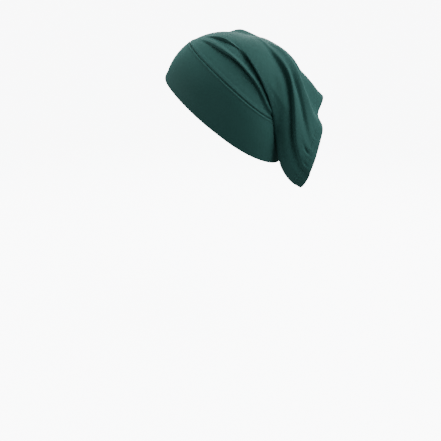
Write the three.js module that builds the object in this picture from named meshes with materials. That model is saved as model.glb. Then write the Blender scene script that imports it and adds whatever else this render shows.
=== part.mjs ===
// A jersey underscarf cap: a tube of cloth worn over a head, its far end hanging open behind.
// Millimetres, +Z up, forehead toward -Y, the wearer's left toward +X.
// The origin is the inside of the crown, where the cap bears on the top of the head.
import * as THREE from 'three';

// The head the cap is stretched over, as the inside face of the cloth.
const head_length = 187.8;
const head_width = 148.0;
const crown_height = 80.6;
const nape_reach = 200.0;

// The cap itself.
const cap_length = 341.0;
const band_width = 66.0;
const hem_width = 12.0;
const band_thickness = 2.0;
const cloth_thickness = 1.2;
const hem_thickness = 2.0;
const seam_gap = 0.3;
const tail_length = 170.0;
const ply_clearance = 1.1;
const rim_flare = 2.6;
const flare_share = 0.035;

// Folds. lip_lean: how far the pleat's lip leans toward the rim, as a share of its height.
// degree_length: the cloth's length round the tube for one degree, where the pleat runs.
const fold_height = 5.0;
const lip_lean = 0.6;
const lip_start = -1.5;
const lip_end = 2.5;
const degree_length = 1.25;

// The loose ruck on the far side of the crown: its peak's angle and share, its width in degrees,
// its length ahead of and behind the peak as shares, and its height.
const ruck = { angle: -34, share: 0.385, width: 15, ahead: 0.05, behind: 0.105, height: 8.5 };

// Shares of the cap's length from the rim at which one piece ends and the next begins.
const seam_share = band_width / cap_length;
const hem_share = 1 - hem_width / cap_length;
const gap_share = 0.5 * seam_gap / cap_length;

const DEG = Math.PI / 180;

// Rings round the head, from the rim to where the nape side turns back on itself.
// share: place along the cap. front, nape: angles on the head's profile, from straight back
// over the top. behind: how far the cloth stands off the nape, in millimetres.
// width: half width as a share of head_width. bow: how far the sides rise,
// and lean: how much more they rise ahead of the ears than behind them, as shares of
// crown_height. near: the ring angle of the edge that becomes the tail's side.
const rings = [
  { share: 0.000, front: 164.0, nape: -31.9, behind: 12, width: 0.474, bow: 0.016, lean: 0.08, near: 74 },
  { share: 0.097, front: 142.0, nape: -22.2, behind: 8, width: 0.489, bow: 0.080, lean: 0.05, near: 68 },
  { share: 0.194, front: 120.7, nape: -12.9, behind: 3, width: 0.474, bow: 0.110, lean: 0.015, near: 62 },
  { share: 0.270, front: 103.0, nape: -5.0, behind: 0, width: 0.405, bow: 0.050, lean: 0, near: 59 },
  { share: 0.340, front: 88.0, nape: 5.5, behind: 0, width: 0.343, bow: -0.025, lean: 0, near: 62 },
  { share: 0.410, front: 74.0, nape: 22.0, behind: 0, width: 0.296, bow: -0.100, lean: 0, near: 75 },
];

// Sections of the hanging tail, each by four points on the loop: the outer line over the crown,
// the near (left) edge, the inner line against the head, and the far (right) edge.
// Each point is x, y, z from the turn on the back of the head, as shares of tail_length.
const sections = [
  { share: 0.460, outer: [0.000, -0.224, 0.129], near: [0.268, -0.135, -0.015],
    inner: [0.000, -0.012, -0.035], far: [-0.262, -0.135, 0.022] },
  { share: 0.485, outer: [0.000, -0.176, 0.118], near: [0.274, -0.112, -0.047],
    inner: [0.000, 0.000, 0.000], far: [-0.256, -0.112, 0.036] },
  { share: 0.520, outer: [0.000, -0.106, 0.090], near: [0.271, -0.059, -0.124],
    inner: [0.000, 0.044, -0.018], far: [-0.253, -0.080, 0.036] },
  { share: 0.600, outer: [0.000, 0.032, 0.022], near: [0.238, 0.021, -0.271],
    inner: [0.000, 0.100, -0.118], far: [-0.265, -0.008, -0.006] },
  { share: 0.680, outer: [0.000, 0.143, -0.070], near: [0.182, 0.059, -0.406],
    inner: [-0.012, 0.135, -0.247], far: [-0.290, 0.055, -0.080] },
  { share: 0.760, outer: [0.000, 0.226, -0.206], near: [0.135, 0.079, -0.559],
    inner: [-0.035, 0.159, -0.376], far: [-0.332, 0.106, -0.156] },
  { share: 0.830, outer: [0.000, 0.284, -0.335], near: [0.124, 0.100, -0.682],
    inner: [-0.071, 0.182, -0.494], far: [-0.378, 0.152, -0.204] },
  { share: 0.900, outer: [0.000, 0.334, -0.462], near: [0.125, 0.150, -0.896],
    inner: [-0.112, 0.206, -0.600], far: [-0.424, 0.197, -0.254] },
  { share: 0.950, outer: [0.000, 0.382, -0.580], near: [0.130, 0.240, -1.025],
    inner: [-0.141, 0.229, -0.682], far: [-0.465, 0.238, -0.306] },
  { share: 1.000, outer: [0.000, 0.450, -0.668], near: [0.138, 0.347, -1.082],
    inner: [-0.165, 0.253, -0.765], far: [-0.500, 0.284, -0.360] },
];

// Ridges and valleys that run along the tube. Each has an angle round the loop at the shares
// where it starts, is deepest and ends, a height as a share of fold_height (a valley's is
// negative) and a width in degrees. gone: the share by which it has died out again. hem: how much
// of it is left at the hem, whose stitched plies lie flatter, from flat_from to flat_by.
const dying_share = 0.1;
const flat_from = 0.86;
const flat_by = 0.975;
const long_folds = [
  { from: 0.25, mid: 0.34, to: 0.44, angle: [56, 80, 88], height: -0.50, width: 5, gone: 0.46, hem: 0 },
  { from: 0.25, mid: 0.34, to: 0.44, angle: [46, 70, 78], height: 0.75, width: 7, gone: 0.48, hem: 0 },
  { from: 0.44, mid: 0.70, to: 1.00, angle: [8, 19, 48], height: 0.60, width: 6, gone: 2, hem: 0.35 },
  { from: 0.53, mid: 0.74, to: 1.00, angle: [22, 31, 55], height: -0.85, width: 7, gone: 2, hem: 0.25 },
  { from: 0.44, mid: 0.75, to: 1.00, angle: [-6, -3, -3], height: 0.50, width: 8, gone: 2, hem: 0.4 },
  { from: 0.58, mid: 0.84, to: 1.00, angle: [10, 12, 19], height: -0.70, width: 6, gone: 2, hem: 0.25 },
  { from: 0.50, mid: 0.92, to: 1.05, angle: [-24, -33, -40], height: -2.60, width: 20, gone: 2, hem: 1 },
];

// The pleat that runs round the near side of the head: its place along the cap, its height as a
// share of fold_height, and how far behind its lip it has eased off, at given angles round the tube.
const side_pleat = [
  { angle: 56, share: 0.222, height: 0.0, reach: 16 },
  { angle: 66, share: 0.232, height: 0.2, reach: 16 },
  { angle: 74, share: 0.244, height: 0.4, reach: 16 },
  { angle: 88, share: 0.269, height: 0.65, reach: 15 },
  { angle: 98, share: 0.286, height: 0.85, reach: 13 },
  { angle: 107, share: 0.303, height: 0.95, reach: 11 },
  { angle: 118, share: 0.312, height: 0.95, reach: 9 },
  { angle: 129, share: 0.310, height: 0.9, reach: 8 },
  { angle: 141, share: 0.297, height: 0.85, reach: 8 },
  { angle: 150, share: 0.275, height: 0.7, reach: 9 },
  { angle: 156, share: 0.240, height: 0.6, reach: 10 },
  { angle: 161, share: 0.219, height: 0.5, reach: 10 },
  { angle: 168, share: 0.215, height: 0.35, reach: 10 },
  { angle: 180, share: 0.214, height: 0.0, reach: 10 },
];

// Where the nape side turns back on itself, from the head's centre.
const turn_back_share = 0.4366;
const turn_up_share = 0.62;
const turn = new THREE.Vector3(0, turn_back_share * head_length, turn_up_share * crown_height);

function smooth(a, b, x) {
  const t = Math.min(1, Math.max(0, (x - a) / (b - a)));
  return t * t * (3 - 2 * t);
}

// A point on the head's profile, from the head's centre.
function profile(angle) {
  const up = Math.sin(angle * DEG);
  const reach = up > 0 ? crown_height : nape_reach;
  return new THREE.Vector3(0, 0.5 * head_length * Math.cos(angle * DEG), reach * up);
}

// A ring: an ellipse between the forehead and nape points, its sides bowed along the tube.
function ring_point(row, phi) {
  const theta = phi - (90 - row.near) * DEG * Math.sin(phi);
  const front = profile(row.front);
  const nape = profile(row.nape).add(new THREE.Vector3(0, row.behind, 0));
  const middle = front.clone().add(nape).multiplyScalar(0.5);
  const ahead = front.clone().sub(nape).multiplyScalar(0.5);
  const axis = new THREE.Vector3(0, ahead.z, -ahead.y).normalize();
  const side = row.width * head_width * Math.sin(theta);
  const rise = row.bow + row.lean * Math.cos(theta);
  const bow = rise * crown_height * Math.sin(theta) ** 2;
  return middle.addScaledVector(ahead, Math.cos(theta)).addScaledVector(axis, bow)
    .add(new THREE.Vector3(side, 0, 0));
}

function tail_point(shares) {
  return new THREE.Vector3(...shares).multiplyScalar(tail_length).add(turn);
}

// A tail section: a flattened, bent loop through its four points.
function section_point(row, phi) {
  const near = tail_point(row.near);
  const far = tail_point(row.far);
  const middle = near.clone().add(far).multiplyScalar(0.5);
  const across = near.clone().sub(far).multiplyScalar(0.5);
  const outer = tail_point(row.outer).sub(middle);
  const inner = tail_point(row.inner).sub(middle);
  const depth = outer.clone().sub(inner).multiplyScalar(0.5);
  const bend = outer.add(inner).multiplyScalar(0.5);
  return middle.addScaledVector(across, Math.sin(phi)).addScaledVector(depth, Math.cos(phi))
    .addScaledVector(bend, Math.cos(phi) ** 2);
}

const rows = [...rings, ...sections];

function row_point(row, phi) {
  return row.outer ? section_point(row, phi) : ring_point(row, phi);
}

// A smooth curve through the rows at one angle round the tube.
function along(phi, share) {
  let i = 0;
  while (i < rows.length - 2 && share > rows[i + 1].share) i += 1;
  const at = [i - 1, i, i + 1, i + 2].map((k) => Math.min(rows.length - 1, Math.max(0, k)));
  const p = at.map((k) => row_point(rows[k], phi));
  const s = at.map((k) => rows[k].share);
  const span = s[2] - s[1];
  const t = (share - s[1]) / span;
  const slope_a = p[2].clone().sub(p[0]).multiplyScalar(span / (s[2] - s[0]));
  const slope_b = p[3].clone().sub(p[1]).multiplyScalar(span / (s[3] - s[1]));
  return p[1].clone().multiplyScalar(2 * t ** 3 - 3 * t ** 2 + 1)
    .addScaledVector(slope_a, t ** 3 - 2 * t ** 2 + t)
    .addScaledVector(p[2], 3 * t ** 2 - 2 * t ** 3)
    .addScaledVector(slope_b, t ** 3 - t ** 2);
}

// How far the cloth must stay off the head: nothing on the rings. Past the turn, the tail's inner
// side clears the band's plies, and its outer side clears one ply more.
function lift(phi, share) {
  const outward = 0.5 + 0.5 * Math.cos(phi);
  const inner_lift = band_thickness + cloth_thickness + ply_clearance;
  const outer_lift = cloth_thickness + ply_clearance;
  const past_turn = smooth(0.37 + 0.05 * outward, 0.47 + 0.05 * outward, share);
  return (inner_lift + outer_lift * smooth(0.25, 0.6, outward)) * past_turn;
}

// Pushes a point out of the head's egg shape to at least the given distance.
function off_head(p, distance) {
  const reach = p.z > 0 ? crown_height : nape_reach;
  const rho = Math.hypot(p.x / (0.5 * head_width), p.y / (0.5 * head_length), p.z / reach);
  const least = 1 + distance / (0.5 * (head_width + head_length) / 2);
  const soft = 0.01;
  const goal = 0.5 * (rho + least + Math.sqrt((rho - least) ** 2 + soft ** 2)) - 0.5 * soft;
  return rho > 0.5 ? p.multiplyScalar(goal / rho) : p;
}

// A value from a table of stations, joined by straight lines.
function table_value(table, key, value, x) {
  let i = 0;
  while (i < table.length - 2 && x > table[i + 1][key]) i += 1;
  const t = Math.min(1, Math.max(0, (x - table[i][key]) / (table[i + 1][key] - table[i][key])));
  return table[i][value] + (table[i + 1][value] - table[i][value]) * t;
}

function signed_degrees(phi) {
  return ((phi / DEG + 180) % 360 + 360) % 360 - 180;
}

function pleat_share(phi) {
  return table_value(side_pleat, 'angle', 'share', Math.abs(signed_degrees(phi)));
}

// The tail's ridges and valleys at one place, in millimetres outward.
function long_fold_height(phi, share) {
  const angle = signed_degrees(phi);
  let sum = 0;
  for (const fold of long_folds) {
    const t = (share - fold.from) / (fold.to - fold.from);
    const m = (fold.mid - fold.from) / (fold.to - fold.from);
    const bend = fold.angle[1] - fold.angle[0] - (fold.angle[2] - fold.angle[0]) * m;
    const centre = fold.angle[0] + (fold.angle[2] - fold.angle[0]) * t
      + bend * Math.min(t / m, Math.max(0, (1 - t) / (1 - m)));
    const dying = smooth(fold.gone - dying_share, fold.gone, share);
    const flatter = (1 - fold.hem) * smooth(flat_from, flat_by, share);
    const grown = smooth(fold.from, fold.mid, share) * (1 - dying) * (1 - flatter);
    sum += fold.height * grown * Math.exp(-(((angle - centre) / fold.width) ** 2));
  }
  return sum * fold_height;
}

// The near pleat: a steep lip on its upper side, easing off behind it. Distances are taken square
// to the pleat's own line.
function pleat_height(phi, share) {
  const angle = signed_degrees(phi);
  if (angle < side_pleat[0].angle) return 0;
  const height = table_value(side_pleat, 'angle', 'height', angle);
  const reach = table_value(side_pleat, 'angle', 'reach', angle);
  const slope = 0.5 * (pleat_share((angle + 1) * DEG) - pleat_share((angle - 1) * DEG));
  const square = 1 / Math.hypot(1, slope * cap_length / degree_length);
  const along_mm = (share - pleat_share(phi)) * cap_length * square;
  const easing = smooth(0.35 * reach, reach, along_mm);
  return height * fold_height * smooth(lip_start, lip_end, along_mm) * (1 - easing);
}

function ruck_at(phi, share) {
  const a = (signed_degrees(phi) - ruck.angle) / ruck.width;
  const b = (share - ruck.share) / (share < ruck.share ? ruck.ahead : ruck.behind);
  return ruck.height * Math.exp(-a * a - b * b);
}

function smooth_point(phi, share) {
  return off_head(along(phi, share), lift(phi, share));
}

function frame_at(phi, share) {
  const e = 1e-3;
  const lo = Math.max(0, share - e);
  const hi = Math.min(1, share + e);
  const round = smooth_point(phi + e, share).sub(smooth_point(phi - e, share));
  const down = smooth_point(phi, hi).sub(smooth_point(phi, lo));
  const out = round.cross(down).normalize();
  return { out, down: down.normalize() };
}

// The inside face of the cloth, folds and all, in the head's own frame.
function inside_point(phi, share) {
  const { out, down } = frame_at(phi, share);
  const pleat = pleat_height(phi, share);
  const height = long_fold_height(phi, share) + pleat + ruck_at(phi, share);
  const ahead = 0.5 + 0.5 * Math.cos(phi);
  const flare = rim_flare * ahead ** 3 * (1 - smooth(0, flare_share, share));
  return smooth_point(phi, share).addScaledVector(out, height + flare)
    .addScaledVector(down, -lip_lean * pleat);
}

// A point on the cloth at a given height above its inside face, in the part's frame.
function cloth_point(phi, share, height) {
  const e = 2e-3;
  const lo = Math.max(0, share - e);
  const hi = Math.min(1, share + e);
  const round = inside_point(phi + e, share).sub(inside_point(phi - e, share));
  const down = inside_point(phi, hi).sub(inside_point(phi, lo));
  const out = round.cross(down).normalize();
  const p = inside_point(phi, share).addScaledVector(out, height);
  return p.sub(new THREE.Vector3(0, 0, crown_height));
}

// Angles round the tube: close on the near side, where the folds are, wider elsewhere.
const angle_spans = [
  { from: 0, to: 96, step: 4 },
  { from: 96, to: 264, step: 8 },
  { from: 264, to: 300, step: 6 },
  { from: 300, to: 360, step: 5 },
];

function angle_stations() {
  return angle_spans.flatMap(({ from, to, step }) => {
    const count = Math.round((to - from) / step);
    return Array.from({ length: count }, (_, k) => (from + step * k) * DEG);
  });
}

const angles = angle_stations();

// A closed shell between two faces of the tube. Each station is a function of the angle.
// The last and first stations are the cut edges.
function shell(stations, thickness) {
  const positions = [];
  const count = angles.length;
  const loops = [
    ...stations.map((station) => ({ station, height: thickness })),
    ...stations.map((station) => ({ station, height: 0 })).reverse(),
  ];
  for (const { station, height } of loops) {
    for (const phi of angles) {
      const p = cloth_point(phi, station(phi), height);
      positions.push(p.x, p.y, p.z);
    }
  }
  const index = [];
  for (let j = 0; j < loops.length; j += 1) {
    const next = (j + 1) % loops.length;
    for (let i = 0; i < count; i += 1) {
      const a = j * count + i;
      const b = j * count + (i + 1) % count;
      const c = next * count + (i + 1) % count;
      const d = next * count + i;
      index.push(a, b, c, a, c, d);
    }
  }
  const geometry = new THREE.BufferGeometry();
  geometry.setAttribute('position', new THREE.Float32BufferAttribute(positions, 3));
  geometry.setIndex(index);
  geometry.computeVertexNormals();
  return geometry;
}

function fixed(share) {
  return () => share;
}

function between(from, to, t) {
  return (phi) => from + (to(phi) - from) * t;
}

// Stations on the crown: up to the pleat, over its roll, then round the turn and down the tail.
const crown_start = seam_share + gap_share;
const crown_end = hem_share - gap_share;
const to_pleat = [0, 0.45, 0.8, 0.97].map((t) => between(crown_start, pleat_share, t));
const over_pleat = [2.5, 6, 11, 17].map((mm) => (phi) => pleat_share(phi) + mm / cap_length);
const turn_shares = [0.385, 0.415, 0.440, 0.460, 0.475, 0.490, 0.505, 0.525, 0.555];
const tail_count = 10;
const tail_shares = Array.from({ length: tail_count }, (_, k) =>
  0.555 + (crown_end - 0.555) * (k + 1) / tail_count);
const crown_stations = [...to_pleat, ...over_pleat, ...[...turn_shares, ...tail_shares].map(fixed)];

const band_stations = [0, 0.012, 0.045, 0.095, 0.145].map(fixed)
  .concat([fixed(seam_share - gap_share)]);
const hem_stations = [hem_share + gap_share, 0.5 * (hem_share + 1), 1].map(fixed);

function piece(name, stations, thickness, colour, roughness) {
  const material = new THREE.MeshStandardMaterial({ color: colour, roughness, metalness: 0 });
  const mesh = new THREE.Mesh(shell(stations, thickness), material);
  mesh.name = name;
  return mesh;
}

const group = new THREE.Group();
group.name = 'underscarf_cap';
group.add(piece('front_band', band_stations, band_thickness, 0x17463c, 0.82));
group.add(piece('crown_tube', crown_stations, cloth_thickness, 0x1a4a40, 0.8));
group.add(piece('back_hem', hem_stations, hem_thickness, 0x17463c, 0.82));

export default group;
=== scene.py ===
"""A dark green jersey underscarf cap, as worn: a folded band, a tube over the crown, a hemmed open tail.

Blender works in metres. The cap's surface is worked out in millimetres from the head's centre and
turned to metres, with the inside of the crown as the origin, when a mesh is made."""
import math

import bpy
import numpy as np
from mathutils import Matrix, Vector


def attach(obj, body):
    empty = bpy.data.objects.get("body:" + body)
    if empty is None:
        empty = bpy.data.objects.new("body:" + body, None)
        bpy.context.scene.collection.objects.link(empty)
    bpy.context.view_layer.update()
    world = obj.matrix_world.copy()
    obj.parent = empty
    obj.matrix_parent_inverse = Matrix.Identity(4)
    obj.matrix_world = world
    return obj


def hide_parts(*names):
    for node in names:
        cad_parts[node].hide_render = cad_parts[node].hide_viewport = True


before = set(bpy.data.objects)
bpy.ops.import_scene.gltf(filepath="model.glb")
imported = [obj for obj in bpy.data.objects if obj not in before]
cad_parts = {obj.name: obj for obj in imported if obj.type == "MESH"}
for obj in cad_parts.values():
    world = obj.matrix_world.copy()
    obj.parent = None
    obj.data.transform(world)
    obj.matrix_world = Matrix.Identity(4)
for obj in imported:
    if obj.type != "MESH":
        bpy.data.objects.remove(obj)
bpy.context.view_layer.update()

# The size of head that the cap is made for, as the inside face of the cloth, in millimetres.
HEAD_LENGTH = 187.8
HEAD_WIDTH = 148.0
CROWN_HEIGHT = 80.6
NAPE_REACH = 200.0

# The cap, in millimetres.
CAP_LENGTH = 341.0
BAND_WIDTH = 66.0
HEM_WIDTH = 12.0
BAND_THICKNESS = 2.0
CLOTH_THICKNESS = 1.2
TAIL_LENGTH = 170.0
PLY = 0.75
PLY_CLEARANCE = 1.1
RIM_FLARE = 2.6
FOLD_HEIGHT = 5.0
LIP_LEAN = 0.6

# The cap lying flat and unstretched: its width round the tube, twice the width of the flattened tube.
FLAT_ROUND = 360.0

# Places along the cap are shares of its length, from the rim at 0 to the hem's end at 1.
MM = 1 / CAP_LENGTH
SEAM_SHARE = BAND_WIDTH * MM
HEM_SHARE = 1 - HEM_WIDTH * MM
FLARE_SHARE = 0.035

# The shares between which the tube lifts off the head on its inner side, and how much later its outer
# side does.
LIFT_FROM = 0.37
LIFT_BY = 0.47
LIFT_LAG = 0.05

# Where the nape side turns back on itself, from the head's centre.
TURN_BACK_SHARE = 0.4366
TURN_UP_SHARE = 0.620
TURN = np.array([0.0, TURN_BACK_SHARE * HEAD_LENGTH, TURN_UP_SHARE * CROWN_HEIGHT])

# Rings round the head: share along the cap, front and nape angles on the head's profile, how far the
# cloth stands off the nape in millimetres, half width as a share of the head's width, bow of the sides
# and its lean (how much more they rise ahead of the ears than behind them) as shares of the crown's
# height, and the ring angle of the edge that becomes the tail's near side.
RINGS = [
    dict(share=0.000, front=164.0, nape=-31.9, behind=12, width=0.474, bow=0.016, lean=0.08, near=74),
    dict(share=0.097, front=142.0, nape=-22.2, behind=8, width=0.489, bow=0.080, lean=0.05, near=68),
    dict(share=0.194, front=120.7, nape=-12.9, behind=3, width=0.474, bow=0.110, lean=0.015, near=62),
    dict(share=0.270, front=103.0, nape=-5.0, behind=0, width=0.405, bow=0.050, lean=0.0, near=59),
    dict(share=0.340, front=88.0, nape=5.5, behind=0, width=0.343, bow=-0.025, lean=0.0, near=62),
    dict(share=0.410, front=74.0, nape=22.0, behind=0, width=0.296, bow=-0.100, lean=0.0, near=75),
]

# Sections of the tail: four points of each loop, from the turn on the back of the head, as shares
# of the tail's length.
SECTIONS = [
    dict(share=0.460, outer=(0.000, -0.224, 0.129), near=(0.268, -0.135, -0.015),
         inner=(0.000, -0.012, -0.035), far=(-0.262, -0.135, 0.022)),
    dict(share=0.485, outer=(0.000, -0.176, 0.118), near=(0.274, -0.112, -0.047),
         inner=(0.000, 0.000, 0.000), far=(-0.256, -0.112, 0.036)),
    dict(share=0.520, outer=(0.000, -0.106, 0.090), near=(0.271, -0.059, -0.124),
         inner=(0.000, 0.044, -0.018), far=(-0.253, -0.080, 0.036)),
    dict(share=0.600, outer=(0.000, 0.032, 0.022), near=(0.238, 0.021, -0.271),
         inner=(0.000, 0.100, -0.118), far=(-0.265, -0.008, -0.006)),
    dict(share=0.680, outer=(0.000, 0.143, -0.070), near=(0.182, 0.059, -0.406),
         inner=(-0.012, 0.135, -0.247), far=(-0.290, 0.055, -0.080)),
    dict(share=0.760, outer=(0.000, 0.226, -0.206), near=(0.135, 0.079, -0.559),
         inner=(-0.035, 0.159, -0.376), far=(-0.332, 0.106, -0.156)),
    dict(share=0.830, outer=(0.000, 0.284, -0.335), near=(0.124, 0.100, -0.682),
         inner=(-0.071, 0.182, -0.494), far=(-0.378, 0.152, -0.204)),
    dict(share=0.900, outer=(0.000, 0.334, -0.462), near=(0.125, 0.150, -0.896),
         inner=(-0.112, 0.206, -0.600), far=(-0.424, 0.197, -0.254)),
    dict(share=0.950, outer=(0.000, 0.382, -0.580), near=(0.130, 0.240, -1.025),
         inner=(-0.141, 0.229, -0.682), far=(-0.465, 0.238, -0.306)),
    dict(share=1.000, outer=(0.000, 0.450, -0.668), near=(0.138, 0.347, -1.082),
         inner=(-0.165, 0.253, -0.765), far=(-0.500, 0.284, -0.360)),
]

# Ridges and valleys along the tube: shares where each starts, is at its full height, turns and ends,
# its angles at the first, the turning and the last one, height as a share of FOLD_HEIGHT, widths in
# degrees towards the near edge and away from it, the share by which it is gone, and what is left of
# it at the hem, whose two stitched plies lie flatter from FLAT_FROM to FLAT_BY.
DYING_SHARE = 0.1
FLAT_FROM = 0.86
FLAT_BY = 0.975
LONG_FOLDS = [
    dict(start=0.44, full=0.66, turn=0.70, end=1.0, angle=(8, 19, 47), height=0.75, near=3.4, far=10,
         gone=2, hem=0.4),
    dict(start=0.53, full=0.74, turn=0.74, end=1.0, angle=(19, 26.5, 53), height=-1.1, near=11, far=3.4,
         gone=2, hem=0.28),
    dict(start=0.44, full=0.64, turn=0.78, end=1.0, angle=(-4, -1, -7), height=0.55, near=6, far=9,
         gone=2, hem=0.4),
    dict(start=0.58, full=0.80, turn=0.84, end=1.0, angle=(10, 12, 19), height=-0.85, near=7, far=4.5,
         gone=2, hem=0.25),
    dict(start=0.56, full=0.68, turn=0.70, end=0.90, angle=(72, 55, 24), height=0.14, near=5, far=7,
         gone=0.88, hem=0),
    dict(start=0.50, full=0.92, turn=0.92, end=1.05, angle=(-24, -33, -40), height=-2.6, near=20, far=20,
         gone=2, hem=1),
    dict(start=0.66, full=0.84, turn=0.85, end=1.05, angle=(158, 158, 158), height=-2.4, near=12, far=12,
         gone=2, hem=0.8),
    dict(start=0.66, full=0.84, turn=0.85, end=1.05, angle=(-148, -146, -144), height=-2.4, near=12, far=12,
         gone=2, hem=0.8),
]

# The pleat round the near side of the head: angle round the tube, share along it, height as a share
# of FOLD_HEIGHT, and the millimetres over which the cloth behind its lip has eased down again.
SIDE_PLEAT = dict(
    angle=[60, 70, 79, 88, 98, 107, 118, 129, 141, 150, 156, 161, 168, 180],
    share=[0.236, 0.250, 0.264, 0.279, 0.294, 0.309, 0.324,
           0.319, 0.300, 0.275, 0.243, 0.221, 0.215, 0.214],
    height=[0.0, 0.1, 0.3, 0.55, 0.8, 0.95, 0.95, 0.9, 0.85, 0.75, 0.65, 0.55, 0.4, 0.0],
    reach=[16, 16, 16, 15, 13, 11, 9, 8, 8, 9, 10, 10, 10, 10],
)

# The crease above the pleat, along the tube: share, angle and height as a share of FOLD_HEIGHT.
# Beyond it the cloth turns over itself at the tail's near edge.
UPPER_CREASE = dict(
    share=[0.270, 0.296, 0.319, 0.345, 0.372, 0.402, 0.436],
    angle=[61, 69, 75, 79.5, 83.5, 86, 87.5],
    height=[0.0, 0.25, 0.6, 0.9, 0.7, 0.35, 0.0],
)
CREASE_REACH = 13.0
MM_PER_DEGREE = 1.25

# A fold's lip, in millimetres from its line: where its steep side starts and ends, the dip in front of
# it as a share of its height, that dip's place and width, and the share of its reach that stays high.
LIP_RISE = (-1.0, 1.8)
LIP_DIP = 0.35
LIP_DIP_AT = -2.2
LIP_DIP_WIDTH = 2.0
LIP_CREST = 0.35

# The loose ruck on the far side of the crown: its peak's angle and share, its width in degrees, its
# length ahead of and behind the peak as shares, and its height in millimetres.
RUCK = dict(angle=-34, share=0.385, width=15, ahead=0.05, behind=0.105, height=8.5)

# Slack and puckers: how many waves are added up, and heights and reaches in millimetres.
SLACK_WAVES = 18
SLACK_ON_HEAD = 0.05
SLACK_ON_TAIL = 0.16
HEM_PUCKER = 0.16
HEM_PUCKER_REACH = 7.0
SEAM_PUCKER = 0.05
SEAM_PUCKER_REACH = 6.0

# Short creases: angle and share of the middle, half length in degrees, half width in millimetres,
# how far each leans along the tube per degree, and depth in millimetres.
SHORT_CREASES = [
    dict(angle=137.5, share=0.2835, long=5.5, wide=1.5, lean=0.0006, depth=1.6),
    dict(angle=29, share=0.952, long=1.6, wide=6.0, lean=0.0, depth=1.9),
    dict(angle=41, share=0.972, long=1.8, wide=4.0, lean=0.002, depth=1.0),
    dict(angle=66, share=0.968, long=2.2, wide=5.0, lean=0.001, depth=0.9),
    dict(angle=8, share=0.966, long=1.8, wide=4.5, lean=-0.001, depth=0.8),
]


def smooth(low, high, x):
    """A soft step: 0 before low, 1 past high, and three t squared less two t cubed between. It steps
    down as x grows where low is the greater."""
    t = np.clip((x - low) / (high - low), 0.0, 1.0)
    return t * t * (3.0 - 2.0 * t)


def profile(angle):
    """A point on the head's profile: an ellipse, taller below the centre than above it."""
    rise = math.sin(math.radians(angle))
    reach = CROWN_HEIGHT if rise > 0 else NAPE_REACH
    return np.array([0.0, 0.5 * HEAD_LENGTH * math.cos(math.radians(angle)), reach * rise])


def ring_points(row, phi):
    """An ellipse between the forehead and nape points, its sides bowed by the square of the sine."""
    theta = phi - math.radians(90 - row["near"]) * np.sin(phi)
    front = profile(row["front"])
    nape = profile(row["nape"]) + np.array([0.0, row["behind"], 0.0])
    ahead = (front - nape) / 2
    axis = np.array([0.0, ahead[2], -ahead[1]])
    axis /= np.linalg.norm(axis)
    side = row["width"] * HEAD_WIDTH * np.sin(theta)
    rise = row["bow"] + row["lean"] * np.cos(theta)
    bow = rise * CROWN_HEIGHT * np.sin(theta) ** 2
    return ((front + nape) / 2 + np.cos(theta)[..., None] * ahead + bow[..., None] * axis
            + side[..., None] * np.array([1.0, 0.0, 0.0]))


def section_points(row, phi):
    """A bent loop: middle, plus sine across, plus cosine through, plus cosine squared bend."""
    outer, near, inner, far = (np.array(row[k]) * TAIL_LENGTH + TURN
                               for k in ("outer", "near", "inner", "far"))
    middle, across = (near + far) / 2, (near - far) / 2
    depth, bend = (outer - inner) / 2, (outer + inner) / 2 - middle
    c, s = np.cos(phi)[..., None], np.sin(phi)[..., None]
    return middle + s * across + c * depth + c * c * bend


ROWS = RINGS + SECTIONS
SHARES = np.array([row["share"] for row in ROWS])


def along(phi, share):
    """A Hermite curve through the rows at each angle, its slopes taken between neighbours."""
    points = np.stack([section_points(r, phi) if "outer" in r else ring_points(r, phi) for r in ROWS])
    i = np.clip(np.searchsorted(SHARES, share, side="left") - 1, 0, len(ROWS) - 2)
    at = [np.clip(i + k, 0, len(ROWS) - 1) for k in (-1, 0, 1, 2)]
    p = [np.take_along_axis(points, a[None, ..., None], 0)[0] for a in at]
    s = [SHARES[a] for a in at]
    span = s[2] - s[1]
    t = ((share - s[1]) / span)[..., None]
    slope_a = (p[2] - p[0]) * (span / (s[2] - s[0]))[..., None]
    slope_b = (p[3] - p[1]) * (span / (s[3] - s[1]))[..., None]
    return (p[1] * (2 * t ** 3 - 3 * t ** 2 + 1) + slope_a * (t ** 3 - 2 * t ** 2 + t)
            + p[2] * (3 * t ** 2 - 2 * t ** 3) + slope_b * (t ** 3 - t ** 2))


def off_head(p, distance):
    """Pushes points out along their own direction to a least distance off the head's egg shape, by a
    soft maximum: half the sum of both radii and of their gap, the gap rounded by a square root."""
    reach = np.where(p[..., 2] > 0, CROWN_HEIGHT, NAPE_REACH)
    rho = np.sqrt((p[..., 0] / (HEAD_WIDTH / 2)) ** 2 + (p[..., 1] / (HEAD_LENGTH / 2)) ** 2
                  + (p[..., 2] / reach) ** 2)
    mean_radius = (HEAD_WIDTH + HEAD_LENGTH) / 4
    least = 1 + distance / mean_radius
    soft = 0.01
    goal = 0.5 * (rho + least + np.sqrt((rho - least) ** 2 + soft ** 2)) - 0.5 * soft
    scale = np.where(rho > 0.5, goal / np.maximum(rho, 1e-6), 1.0)
    return p * scale[..., None]


def smooth_points(phi, share):
    """The tube without its folds: the rows' curve, lifted off the head past the turn. The tail's inner
    side clears the band's plies, and its outer side clears one ply more."""
    outward = 0.5 + 0.5 * np.cos(phi)
    inner_lift = BAND_THICKNESS + CLOTH_THICKNESS + PLY_CLEARANCE
    outer_lift = CLOTH_THICKNESS + PLY_CLEARANCE
    lift = ((inner_lift + outer_lift * smooth(0.25, 0.6, outward))
            * smooth(LIFT_FROM + LIFT_LAG * outward, LIFT_BY + LIFT_LAG * outward, share))
    return off_head(along(phi, share), lift)


def signed_degrees(phi):
    """Angles in degrees from -180 to 180, 0 being the line over the crown."""
    return (np.degrees(phi) + 180.0) % 360.0 - 180.0


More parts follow.
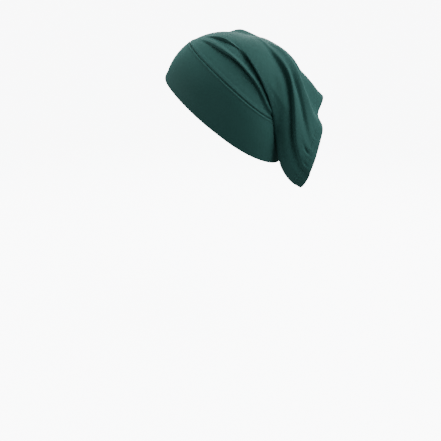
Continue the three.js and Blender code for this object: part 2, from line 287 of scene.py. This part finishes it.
def long_fold_height(phi, share):
    """The sum of the ridges and valleys: a two-sided Gaussian across each, a soft step along it."""
    angle = signed_degrees(phi)
    total = np.zeros_like(angle)
    for f in LONG_FOLDS:
        t = (share - f["start"]) / (f["end"] - f["start"])
        m = (f["turn"] - f["start"]) / (f["end"] - f["start"])
        a, b, c = f["angle"]
        tent = np.minimum(t / m, np.maximum(0.0, (1 - t) / (1 - m)))
        off = angle - (a + (c - a) * t + (b - a - (c - a) * m) * tent)
        width = np.where(off > 0, f["near"], f["far"])
        grown = smooth(f["start"], f["full"], share)
        dying = smooth(f["gone"] - DYING_SHARE, f["gone"], share)
        flatter = (1 - f["hem"]) * smooth(FLAT_FROM, FLAT_BY, share)
        total += f["height"] * grown * (1 - dying) * (1 - flatter) * np.exp(-(off / width) ** 2)
    return total * FOLD_HEIGHT


def rounded_table(x, table, key, value, spread_by):
    """A table's value at x, joined by straight lines whose corners are averaged over spread_by."""
    at = [np.interp(x + k * spread_by, table[key], table[value]) for k in (-1, 0, 1)]
    return (at[0] + 2 * at[1] + at[2]) / 4


def lip(mm, reach):
    """A fold's lip, in millimetres from its line: a narrow Gaussian dip before it, a steep soft step
    up, then a soft step down over the rest of its reach."""
    rise = smooth(*LIP_RISE, mm) * (1 - smooth(LIP_CREST * reach, reach, mm))
    return rise - LIP_DIP * np.exp(-((mm - LIP_DIP_AT) / LIP_DIP_WIDTH) ** 2)


def pleat_height(phi, share):
    """The near pleat: a lip across the tube, its distances taken square to its own line."""
    angle = signed_degrees(phi)
    centre = rounded_table(angle, SIDE_PLEAT, "angle", "share", 4.0)
    slope = (rounded_table(angle + 1, SIDE_PLEAT, "angle", "share", 4.0)
             - rounded_table(angle - 1, SIDE_PLEAT, "angle", "share", 4.0)) / 2
    square = 1 / np.hypot(1, slope * CAP_LENGTH / MM_PER_DEGREE)
    height = rounded_table(angle, SIDE_PLEAT, "angle", "height", 3.0)
    reach = rounded_table(angle, SIDE_PLEAT, "angle", "reach", 4.0)
    return height * FOLD_HEIGHT * lip((share - centre) * CAP_LENGTH * square, reach)


def crease_height(phi, share):
    """The crease above the pleat: a lip along the tube, raised on the side over the crown."""
    centre = rounded_table(share, UPPER_CREASE, "share", "angle", 0.012)
    height = rounded_table(share, UPPER_CREASE, "share", "height", 0.012)
    mm = (centre - signed_degrees(phi)) * MM_PER_DEGREE
    return height * FOLD_HEIGHT * lip(mm, CREASE_REACH)


def ruck_height(phi, share):
    """The loose ruck on the far side of the crown: a Gaussian hump, longer towards the tail."""
    a = (signed_degrees(phi) - RUCK["angle"]) / RUCK["width"]
    b = (share - RUCK["share"]) / np.where(share < RUCK["share"], RUCK["ahead"], RUCK["behind"])
    return RUCK["height"] * np.exp(-a * a - b * b)


def slack_height(phi, share):
    """Uneven shallow waves: sines of random number round the tube, slant, height and start, added up.
    They stand higher on the loose tail than on the stretched head part."""
    y = share * CAP_LENGTH
    rng = np.random.default_rng(7)
    total = np.zeros(np.broadcast(phi, share).shape)
    for _ in range(SLACK_WAVES):
        waves = rng.integers(2, 14)
        slant = rng.uniform(-0.16, 0.16)
        size = rng.uniform(0.4, 1.0)
        start = rng.uniform(0, 6.28)
        total += size * np.sin(waves * phi + slant * y + start) / (1 + 0.12 * waves)
    return total * (SLACK_ON_HEAD + SLACK_ON_TAIL * smooth(0.45, 0.8, share))


def pucker_height(phi, share):
    """Puckers beside the stitched line and the seam: a few sines round the tube of unlike numbers,
    under a Gaussian of the distance from the line."""
    y = share * CAP_LENGTH
    at_hem = np.exp(-((share - HEM_SHARE) * CAP_LENGTH / HEM_PUCKER_REACH) ** 2)
    at_seam = np.exp(-((share - SEAM_SHARE) * CAP_LENGTH / SEAM_PUCKER_REACH) ** 2)
    hem_waves = np.sin(47 * phi + 1.2) + 0.7 * np.sin(31 * phi + 0.16 * y) + 0.5 * np.sin(83 * phi)
    seam_waves = np.sin(71 * phi) + np.sin(53 * phi + 2.1)
    return HEM_PUCKER * at_hem * hem_waves + SEAM_PUCKER * at_seam * seam_waves


def short_crease_height(phi, share):
    """The short creases: each a Gaussian dip, longer one way, whose line may lean."""
    total = np.zeros(np.broadcast(phi, share).shape)
    for crease in SHORT_CREASES:
        turned = signed_degrees(phi) - crease["angle"]
        a = turned / crease["long"]
        b = (share - crease["share"] - crease["lean"] * turned) * CAP_LENGTH / crease["wide"]
        total -= crease["depth"] * np.exp(-a * a - b * b)
    return total


def normals(points_at, phi, share, e):
    """Unit vectors out of the tube, round it and along it, from central differences of a surface."""
    low, high = np.maximum(share - e, 0.0), np.minimum(share + e, 1.0)
    round_ = points_at(phi + e, share) - points_at(phi - e, share)
    down = points_at(phi, high) - points_at(phi, low)
    out = np.cross(round_, down)
    return [v / np.linalg.norm(v, axis=-1)[..., None] for v in (out, round_, down)]


def outside_points(phi, share):
    """The tube's outer face with its folds, in millimetres from the head's centre. A lip leans over
    the cloth in front of it by LIP_LEAN of its height."""
    out, round_, down = normals(smooth_points, phi, share, 1e-3)
    pleat = pleat_height(phi, share)
    crease = crease_height(phi, share)
    height = (CLOTH_THICKNESS + long_fold_height(phi, share) + pleat + crease
              + ruck_height(phi, share) + slack_height(phi, share) + pucker_height(phi, share)
              + short_crease_height(phi, share))
    ahead = 0.5 + 0.5 * np.cos(phi)
    flare = RIM_FLARE * ahead ** 3 * (1 - smooth(0, FLARE_SHARE, share))
    return (smooth_points(phi, share) + out * (height + flare)[..., None]
            - down * (LIP_LEAN * np.maximum(pleat, 0))[..., None]
            + round_ * (LIP_LEAN * np.maximum(crease, 0))[..., None])


def cloth_points(phi, share, height):
    """Points at a height in millimetres over the inside face, in metres in the part's frame."""
    out, _, _ = normals(outside_points, phi, share, 1.5e-3)
    p = outside_points(phi, share) + out * (np.asarray(height) - CLOTH_THICKNESS)[..., None]
    return (p - np.array([0.0, 0.0, CROWN_HEIGHT])) / 1000.0


def linear(colour):
    """An sRGB hex colour as linear red, green, blue, alpha."""
    rgb = [int(colour[i:i + 2], 16) / 255 for i in (1, 3, 5)]
    return tuple(c / 12.92 if c <= 0.04045 else ((c + 0.055) / 1.055) ** 2.4 for c in rgb) + (1.0,)


def node(tree, kind, links=(), **settings):
    """Adds one shader node. A setting whose name is an input is set there, any other on the node."""
    n = tree.nodes.new(kind)
    for key, value in settings.items():
        name = key.replace("_", " ")
        if name in n.inputs:
            n.inputs[name].default_value = value
        else:
            setattr(n, key, value)
    for source, output, target in links:
        tree.links.new(source.outputs[output], n.inputs[target])
    return n


# The knit, in millimetres: its wales from ridge to ridge, the twist of the sewing thread, the fuzz of
# its fibres, and the patches in which the dye and the stretch differ a little. Then the height of its
# relief in metres, and how far the patches' tone goes either side of the colour.
WALE_PITCH = 0.8976
TWIST_PITCH = 0.3491
FUZZ_SIZE = 1.111
PATCH_SIZE = 45.45
KNIT_RELIEF = 0.00012
PATCH_TONE = 0.07
KNIT_SHEEN_COLOUR = "#86ccc4"


def noise_scale(size):
    """A noise texture's scale for features of a size in millimetres, on a UV map in metres."""
    return 1000 / size


def wave_scale(pitch):
    """A wave texture's scale for a pitch in millimetres. At scale 1 its bands come 20 to 2 pi metres."""
    return 2 * math.pi / 20 * 1000 / pitch


def jersey(name, colour, pitch, roughness, sheen):
    """Cotton and elastane jersey. To the eye it is matt, with fine wales along the tube that show only
    close by, a soft light edge from its fibres where it turns away, and faintly uneven dye."""
    mat = bpy.data.materials.new(name)
    mat.use_nodes = True
    t = mat.node_tree
    shader = t.nodes["Principled BSDF"]
    uv = node(t, "ShaderNodeUVMap", uv_map="cloth")
    wales = node(t, "ShaderNodeTexWave", [(uv, "UV", "Vector")], wave_type="BANDS",
                 bands_direction="X", Scale=wave_scale(pitch), Distortion=0.6, Detail=1.0)
    fuzz = node(t, "ShaderNodeTexNoise", [(uv, "UV", "Vector")], Scale=noise_scale(FUZZ_SIZE),
                Detail=3.0)
    patchy = node(t, "ShaderNodeTexNoise", [(uv, "UV", "Vector")], Scale=noise_scale(PATCH_SIZE),
                  Detail=2.0)
    relief = node(t, "ShaderNodeMath", [(wales, "Fac", 0), (fuzz, "Fac", 1)], operation="ADD")
    bump = node(t, "ShaderNodeBump", [(relief, 0, "Height")], Strength=0.35, Distance=KNIT_RELIEF)
    shade = node(t, "ShaderNodeMapRange", [(patchy, "Fac", "Value")], To_Min=1 - PATCH_TONE,
                 To_Max=1 + PATCH_TONE)
    tone = node(t, "ShaderNodeHueSaturation", [(shade, "Result", "Value")], Color=linear(colour))
    t.links.new(tone.outputs["Color"], shader.inputs["Base Color"])
    t.links.new(bump.outputs["Normal"], shader.inputs["Normal"])
    shader.inputs["Roughness"].default_value = roughness
    shader.inputs["Specular IOR Level"].default_value = 0.18
    shader.inputs["Sheen Weight"].default_value = sheen
    shader.inputs["Sheen Roughness"].default_value = 0.45
    shader.inputs["Sheen Tint"].default_value = linear(KNIT_SHEEN_COLOUR)
    return mat


def piece_from(name, verts, faces, uvs, material):
    """A piece at the origin from whole arrays: vertices in metres, quads, and a UV for each corner."""
    mesh = bpy.data.meshes.new(name)
    mesh.from_pydata(verts.tolist(), [], faces.tolist())
    layer = mesh.uv_layers.new(name="cloth")
    layer.data.foreach_set("uv", np.asarray(uvs, dtype=np.float32).ravel())
    mesh.polygons.foreach_set("use_smooth", np.ones(len(faces), dtype=bool))
    mesh.materials.append(material)
    mesh.update()
    obj = bpy.data.objects.new(name, mesh)
    bpy.context.scene.collection.objects.link(obj)
    return obj


def shell(name, angles, shares, heights, material):
    """A closed tube shell. shares and heights list the section's outline once round, outer face first.
    Its UV map is the flat cloth in metres: the width round the tube by the length along it."""
    phi = np.broadcast_to(angles[None, :], (len(shares), len(angles)))
    share = np.broadcast_to(shares[:, None], phi.shape)
    height = np.broadcast_to(heights[:, None], phi.shape)
    verts = cloth_points(phi, share, height).reshape(-1, 3)
    m, n = phi.shape
    j, i = np.meshgrid(np.arange(m), np.arange(n), indexing="ij")
    j2, i2 = (j + 1) % m, (i + 1) % n
    faces = np.stack([j * n + i, j * n + i2, j2 * n + i2, j2 * n + i], -1).reshape(-1, 4)
    u = np.append(angles, angles[0] + 2 * np.pi) * FLAT_ROUND / (2 * np.pi) / 1000
    v = shares * CAP_LENGTH / 1000
    v = np.append(v, v[-1])
    u1, u2 = u[i], u[i + 1]
    v1, v2 = v[j], v[j + 1]
    uvs = np.stack([np.stack([u1, v1], -1), np.stack([u2, v1], -1), np.stack([u2, v2], -1),
                    np.stack([u1, v2], -1)], 2).reshape(-1, 2)
    return piece_from(name, verts, faces, uvs, material)


def spread(stations, counts):
    """Places between stations, so many steps in each stretch, the last station included."""
    parts = [np.linspace(a, b, c, endpoint=False)
             for a, b, c in zip(stations[:-1], stations[1:], counts)]
    return np.concatenate(parts + [stations[-1:]])


def closed_outline(shares, outer, inner):
    """Shares and heights once round a wall's section: the outer face, then the inner one back."""
    return (np.concatenate([shares, shares[::-1]]),
            np.concatenate([np.broadcast_to(outer, shares.shape),
                            np.broadcast_to(inner, shares.shape)[::-1]]))


# The seam's raised welt either side of its groove, in millimetres: the welt's height, how far its top
# is from the seam and half its width, the groove's half width and its depth on the band and on the
# tube, and how wide the allowance lies under the cloth, how much it lifts it and over how far it ends.
WELT = 0.45
WELT_AT = 2.6
WELT_WIDTH = 1.2
GROOVE_WIDTH = 1.6
BAND_GROOVE = 1.1
TUBE_GROOVE = 1.2
ALLOWANCE_WIDTH = 8.0
ALLOWANCE_LIFT = 0.55
ALLOWANCE_END = 3.0

# Folded edges end in a half circle, whose middle lies this far inside the edge.
EDGE_INSET = 0.8

# The walls of the band and the hem are two plies each, the band's with a little air between them.
BAND_WALL = 2.1 * PLY
HEM_WALL = 2.0 * PLY

# How the pieces meet, in millimetres: the band stops just short of the seam, and the tube starts under
# the band and ends under the hem.
BAND_SHORT_OF_SEAM = 0.05
TUBE_UNDER_BAND = 0.3
TUBE_UNDER_HEM = 2.0

# Shares along the cap where the spacing of the tube's rows of points changes. They are closer at the
# pleat and where the tube turns back than down the tail.
TUBE_SPACING_CHANGES = (0.34, 0.42, 0.56)

# The hem's twin rows of stitches, in millimetres: how far the edge of its upper ply is from the hem's
# start, the rows' places from that edge, the stitches' pitch and length, the thread's radius and rise
# over the cloth, and the rows' depth and half width in the cloth. Then the step up to the hem.
HEM_OVERLAP = 0.6
STITCH_ROWS = (1.4, 4.6)
STITCH_PITCH = 2.6
STITCH_LENGTH = 2.0
THREAD_RADIUS = 0.22
THREAD_LIFT = 0.16
ROW_DEPTH = 0.10
ROW_WIDTH = 0.7
HEM_STEP = 0.3
HEM_STEP_WIDTH = 1.5

# Points along a bar of thread, as shares of its length, and turns around it.
ALONG_BAR = np.linspace(0, 1, 7)
AROUND_BAR = np.linspace(0, 2 * np.pi, 7)[:-1]

CLOTH_COLOUR = "#2c524e"
THREAD_COLOUR = "#3d6a65"
band_cloth = jersey("band_cotton_jersey_double", CLOTH_COLOUR, WALE_PITCH, 0.85, 0.3)
tube_cloth = jersey("tube_cotton_jersey_single", CLOTH_COLOUR, WALE_PITCH, 0.85, 0.3)
hem_cloth = jersey("hem_cotton_jersey_turned", CLOTH_COLOUR, WALE_PITCH, 0.85, 0.3)
thread = jersey("polyester_sewing_thread", THREAD_COLOUR, TWIST_PITCH, 0.6, 0.2)

# Angles round the tube: close on the near side, where the folds are, wider on the far side.
ROUND = np.radians(spread(np.array([0, 190, 290, 360.0]), [170, 34, 60]))[:-1]


def rounded(low, high, share, toward, count=5):
    """A half circle in share and height that closes a folded edge, from the outer face to the inner."""
    a = np.linspace(0, np.pi, count + 2)[1:-1]
    r = 0.5 * (high - low)
    return share + toward * r * np.sin(a) * MM, low + r + r * np.cos(a)


def seam_relief(from_seam, groove):
    """The seam at a distance in millimetres: a Gaussian welt, less a groove that deepens by a square."""
    welt = WELT * np.exp(-((from_seam - WELT_AT) / WELT_WIDTH) ** 2)
    return welt - groove * np.clip(1 - from_seam / GROOVE_WIDTH, 0, 1) ** 2


def build_band():
    """The band: two plies from a rolled rim to the seam, where they swell, then dip into its groove."""
    low = BAND_THICKNESS - BAND_WALL
    rim = EDGE_INSET * MM
    near_seam = SEAM_SHARE - ALLOWANCE_WIDTH * MM
    stations = np.array([rim, 8 * MM, near_seam, SEAM_SHARE - BAND_SHORT_OF_SEAM * MM])
    shares = spread(stations, [8, 26, 20])
    outer = BAND_THICKNESS + seam_relief((SEAM_SHARE - shares) / MM, BAND_GROOVE)
    s, h = closed_outline(shares, outer, np.full(shares.shape, low))
    rim_s, rim_h = rounded(low, BAND_THICKNESS, rim, -1)
    s = np.concatenate([s, rim_s[::-1]])
    h = np.concatenate([h, rim_h[::-1]])
    return shell("folded_band", ROUND, s, h, band_cloth)


def build_tube():
    """The tube: one ply from the seam's groove, over the welt of its allowance, to under the hem."""
    start = SEAM_SHARE - TUBE_UNDER_BAND * MM
    end = HEM_SHARE + TUBE_UNDER_HEM * MM
    near_seam = start + ALLOWANCE_WIDTH * MM
    stations = np.array([start, near_seam, *TUBE_SPACING_CHANGES, end - 14 * MM, end])
    shares = spread(stations, [18, 38, 17, 34, 42, 9])
    from_seam = (shares - SEAM_SHARE) / MM
    allowance = ALLOWANCE_LIFT * smooth(ALLOWANCE_WIDTH, ALLOWANCE_WIDTH - ALLOWANCE_END, from_seam)
    outer = CLOTH_THICKNESS + allowance + seam_relief(from_seam, TUBE_GROOVE)
    s, h = closed_outline(shares, outer, np.minimum(outer, CLOTH_THICKNESS) - PLY)
    return shell("draped_tube", ROUND, s, h, tube_cloth)


def build_hem():
    """The hem: two plies from the stitched line to the rolled end of the tube."""
    start = HEM_SHARE - HEM_OVERLAP * MM
    end = 1 - EDGE_INSET * MM
    shares = spread(np.array([start, start + 5 * MM, end]), [10, 10])
    along_mm = (shares - start) / MM
    low = CLOTH_THICKNESS - HEM_WALL
    rows = sum(np.exp(-((along_mm - at) / ROW_WIDTH) ** 2) for at in STITCH_ROWS)
    outer = CLOTH_THICKNESS + HEM_STEP * smooth(0, HEM_STEP_WIDTH, along_mm) - ROW_DEPTH * rows
    s, h = closed_outline(shares, outer, np.full(shares.shape, low))
    end_s, end_h = rounded(low, outer[-1], end, 1)
    n = len(shares)
    s = np.concatenate([s[:n], end_s, s[n:]])
    h = np.concatenate([h[:n], end_h, h[n:]])
    return shell("turned_hem", ROUND, np.minimum(s, 1.0), h, hem_cloth)


def even_angles(share, count):
    """Angles at equal steps of the real distance round the tube at a share."""
    fine = np.linspace(0, 2 * np.pi, 1441)
    p = cloth_points(fine, np.full(fine.shape, share), np.zeros(fine.shape))
    run = np.concatenate([[0], np.cumsum(np.linalg.norm(np.diff(p, axis=0), axis=-1))])
    return np.interp(np.linspace(0, run[-1], count, endpoint=False), run, fine), run[-1]


def stitch_points(share):
    """One row's bars: points along each bar by points around its thread. A bar is thickest at its
    middle, by the square root of a sine, and its two ends dip into the cloth by a sine."""
    _, length = even_angles(share, 8)
    count = int(round(length * 1000 / STITCH_PITCH))
    middle, _ = even_angles(share, count)
    half = np.pi / count * STITCH_LENGTH / STITCH_PITCH
    step = np.gradient(np.unwrap(middle)) * count / (2 * np.pi)
    phi = middle[:, None] + (2 * ALONG_BAR - 1) * half * step[:, None]
    thick = THREAD_RADIUS * np.sqrt(np.sin(np.pi * (0.04 + 0.92 * ALONG_BAR)))
    rise = CLOTH_THICKNESS + THREAD_LIFT + THREAD_LIFT * np.sin(np.pi * ALONG_BAR)
    phi = np.broadcast_to(phi[:, :, None], phi.shape + AROUND_BAR.shape)
    shares = np.broadcast_to(share + thick[:, None] * np.sin(AROUND_BAR) * MM, phi.shape)
    heights = np.broadcast_to(rise[:, None] + thick[:, None] * np.cos(AROUND_BAR), phi.shape)
    return cloth_points(phi, shares, heights)


def bar_faces(bars, rings, sides):
    """Quads round every bar, and two at each of its six-sided ends."""
    k, j, i = np.meshgrid(np.arange(bars), np.arange(rings - 1), np.arange(sides), indexing="ij")
    here = (k * rings + j) * sides
    corners = [here + i, here + (i + 1) % sides, here + sides + (i + 1) % sides, here + sides + i]
    walls = np.stack(corners, -1).reshape(-1, 4)
    base = np.arange(bars)[:, None] * rings * sides
    near_end = base + np.arange(sides)
    far_end = base + (rings - 1) * sides + np.arange(sides)[::-1]
    ends = [ring[:, pick] for ring in (near_end, far_end) for pick in ([0, 3, 2, 1], [0, 5, 4, 3])]
    return np.concatenate([walls] + ends)


def build_stitches():
    """The twin rows on the hem, as short bars of thread laid end to end along each row."""
    verts = []
    faces = []
    first = 0
    for at in STITCH_ROWS:
        points = stitch_points(HEM_SHARE + (at - HEM_OVERLAP) * MM)
        faces.append(first + bar_faces(*points.shape[:3]))
        verts.append(points.reshape(-1, 3))
        first += len(verts[-1])
    verts = np.concatenate(verts)
    faces = np.concatenate(faces)
    uvs = verts[faces.ravel()][:, [1, 2]]
    return piece_from("hem_stitches", verts, faces, uvs, thread)


band = build_band()
tube = build_tube()
hem = build_hem()
hem_rows = build_stitches()

# The camera stands on the wearer's left and a little behind, level with the cap and tipped down. Its
# focal length and the image's side are in pixels, its place in metres, its sensor in millimetres.
AZIMUTH = math.radians(118.06)
PITCH = math.radians(18.84)
FOCAL_PX = 425.4
IMAGE_PX = 441
SENSOR_WIDTH = 36.0
CAMERA_AT = (0.6098, 0.3197, -0.0602)
CAMERA_SEES_TO = 50


def add_camera():
    """The photograph's camera. It looks along its azimuth and pitch and stays level."""
    back = Vector((math.sin(AZIMUTH) * math.cos(PITCH), -math.cos(AZIMUTH) * math.cos(PITCH),
                   math.sin(PITCH)))
    right = (-back).cross(Vector((0, 0, 1))).normalized()
    up = right.cross(-back)
    data = bpy.data.cameras.new("camera")
    data.sensor_width = SENSOR_WIDTH
    data.lens = SENSOR_WIDTH * FOCAL_PX / IMAGE_PX
    data.clip_end = CAMERA_SEES_TO
    camera = bpy.data.objects.new("camera", data)
    camera.matrix_world = Matrix((
        (right.x, up.x, back.x, CAMERA_AT[0]), (right.y, up.y, back.y, CAMERA_AT[1]),
        (right.z, up.z, back.z, CAMERA_AT[2]), (0, 0, 0, 1)))
    bpy.context.scene.collection.objects.link(camera)
    bpy.context.scene.camera = camera


add_camera()

# The studio, in metres and watts: soft square lights, the room's even light, and a sweep of white
# paper that glows by itself, so that it stays nearly white under the soft light.
LIGHTS = [
    dict(name="key_above", place=(-0.10, 0.75, 1.45), size=1.0, watts=31.0),
    dict(name="rim_behind", place=(-1.10, -0.30, 0.75), size=0.9, watts=17.0),
    dict(name="fill_left", place=(0.60, -1.20, 0.10), size=1.2, watts=12.0),
    dict(name="back_level", place=(0.35, 1.35, 0.05), size=1.0, watts=8.0),
]
LIGHTS_AIM = Vector((0, 0.03, -0.06))
ROOM_LIGHT = 0.20
PAPER_COLOUR = "#f4f4f4"
PAPER_GLOW_COLOUR = "#fbfdff"
PAPER_GLOW = 9.0
FLOOR_AT = -0.49
SWEEP_FLAT = 2.6
SWEEP_BEND = 1.2
SWEEP_WALL = 4.0
SWEEP_SIDES = 96


def area_light(name, place, size, watts):
    """A soft square light at a place, turned towards the cap."""
    data = bpy.data.lights.new(name, "AREA")
    data.energy = watts
    data.size = size
    obj = bpy.data.objects.new(name, data)
    obj.location = place
    obj.rotation_euler = (LIGHTS_AIM - Vector(place)).to_track_quat("-Z", "Y").to_euler()
    bpy.context.scene.collection.objects.link(obj)


for light in LIGHTS:
    area_light(**light)


def backdrop():
    """A round paper sweep: a flat floor whose edge curves up by a quarter circle into a wall."""
    turn = np.linspace(0, 2 * np.pi, SWEEP_SIDES + 1)[:-1]
    bend = np.linspace(0, np.pi / 2, 13)
    radius = np.concatenate([[0.4, 1.5], SWEEP_FLAT + SWEEP_BEND * np.sin(bend),
                             [SWEEP_FLAT + SWEEP_BEND]])
    height = np.concatenate([[0, 0], SWEEP_BEND * (1 - np.cos(bend)), [SWEEP_WALL]]) + FLOOR_AT
    x, y = radius[:, None] * np.cos(turn), radius[:, None] * np.sin(turn)
    z = np.broadcast_to(height[:, None], x.shape)
    verts = np.concatenate([np.stack([x, y, z], -1).reshape(-1, 3), [[0, 0, FLOOR_AT]]])
    m, n = len(radius), len(turn)
    j, i = np.meshgrid(np.arange(m - 1), np.arange(n), indexing="ij")
    i2 = (i + 1) % n
    faces = np.stack([j * n + i, (j + 1) * n + i, (j + 1) * n + i2, j * n + i2], -1).reshape(-1, 4)
    middle = [(m * n, k, (k + 1) % n) for k in range(n)]
    data = bpy.data.meshes.new("backdrop")
    data.from_pydata(verts.tolist(), [], faces.tolist() + middle)
    data.polygons.foreach_set("use_smooth", np.ones(len(data.polygons), dtype=bool))
    obj = bpy.data.objects.new("backdrop", data)
    bpy.context.scene.collection.objects.link(obj)
    return obj


def backdrop_paper():
    """Matt white backdrop paper. To the eye it has no grain or gloss, and it stays nearly white."""
    mat = bpy.data.materials.new("white_backdrop_paper")
    mat.use_nodes = True
    shader = mat.node_tree.nodes["Principled BSDF"]
    shader.inputs["Base Color"].default_value = linear(PAPER_COLOUR)
    shader.inputs["Roughness"].default_value = 0.9
    shader.inputs["Emission Color"].default_value = linear(PAPER_GLOW_COLOUR)
    shader.inputs["Emission Strength"].default_value = PAPER_GLOW
    return mat


def room_light():
    """Even white light from all around."""
    world = bpy.data.worlds.new("studio")
    bpy.context.scene.world = world
    world.use_nodes = True
    world.node_tree.nodes["Background"].inputs["Color"].default_value = (1, 1, 1, 1)
    world.node_tree.nodes["Background"].inputs["Strength"].default_value = ROOM_LIGHT


floor = backdrop()
floor.data.materials.append(backdrop_paper())
floor.visible_diffuse = False
floor.visible_glossy = False
room_light()

for piece, cad_node, slot_name in ((band, "front_band", "band_jersey"),
                                   (tube, "crown_tube", "tube_jersey"),
                                   (hem, "back_hem", "hem_jersey")):
    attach(piece, "root")
    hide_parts(cad_node)
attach(hem_rows, "root")
